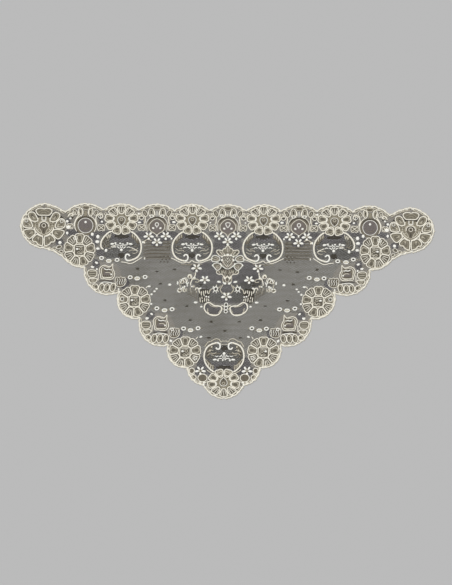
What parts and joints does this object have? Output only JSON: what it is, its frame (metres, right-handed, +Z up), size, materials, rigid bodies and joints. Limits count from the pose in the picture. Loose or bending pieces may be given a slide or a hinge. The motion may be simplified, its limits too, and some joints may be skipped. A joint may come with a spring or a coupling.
{
  "type": "triangular lace mantilla",
  "caption": "Triangular lace mantilla laid flat: a head or shoulder covering of floral lace on fine net, with scroll medallions and a scalloped, corded rim.",
  "frame": {"origin": "on the surface it lies on, under the middle of its width and depth", "axes": "+Z up through the cloth, +X along the long scalloped edge to the right tip as the picture shows it, +Y from the bottom point to the long edge"},
  "size_m": [1, 0.472, 0.0025],
  "materials": {
    "net": "matt net of fine ivory-grey thread",
    "flower_lace": "matt close-laid ivory thread",
    "gimp": "soft-sheened cream cord"
  },
  "bodies": {
    "root": {"field_net": "net", "band_net": "net", "top_border": "flower_lace", "left_border": "flower_lace", "right_border": "flower_lace", "left_tip": "flower_lace", "right_tip": "flower_lace", "point_border": "flower_lace", "medallion_outer_left": "gimp", "medallion_inner_left": "gimp", "medallion_inner_right": "gimp", "medallion_outer_right": "gimp", "medallion_point": "gimp", "centre_flower": "gimp", "crescent_left": "gimp", "crescent_right": "gimp", "edge_cord_top": "gimp", "edge_cord_left": "gimp", "edge_cord_right": "gimp"}
  },
  "joints": []
}
